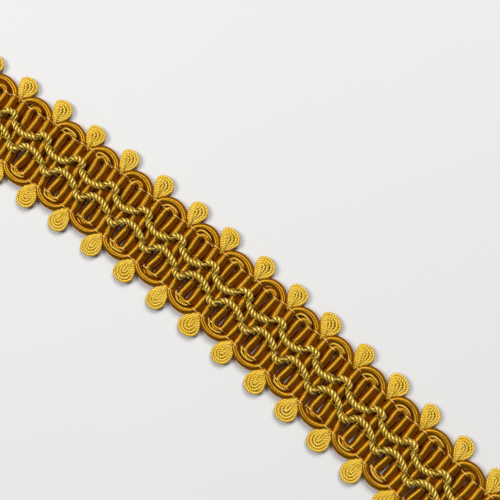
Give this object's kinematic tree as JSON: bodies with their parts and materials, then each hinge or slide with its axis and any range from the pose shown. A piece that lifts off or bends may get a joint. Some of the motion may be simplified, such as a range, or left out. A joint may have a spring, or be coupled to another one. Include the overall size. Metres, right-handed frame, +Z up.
{
  "type": "gimp braid trim",
  "caption": "Cut length of scalloped gimp braid trim: satin-wrapped bars, wavy twisted cords along the middle and looped picots on each edge.",
  "frame": {"origin": "middle of the footprint, on the surface that the back of the braid lies on", "axes": "+X along the length, +Y across the width towards the upper edge, +Z up out of the face of the braid"},
  "size_m": [0.1816, 0.0334, 0.0045],
  "materials": {
    "gimp_cord": "satin",
    "twist_cord": "satin",
    "picot_yarn": "satin",
    "binding_thread": "satin"
  },
  "bodies": {
    "root": {"gimp_cord_a": "gimp_cord", "gimp_cord_b": "gimp_cord", "twist_cord_upper": "twist_cord", "twist_cord_lower": "twist_cord", "picot_edge_upper": "picot_yarn", "picot_edge_lower": "picot_yarn", "binding_thread_upper": "binding_thread", "binding_thread_lower": "binding_thread"}
  },
  "joints": []
}
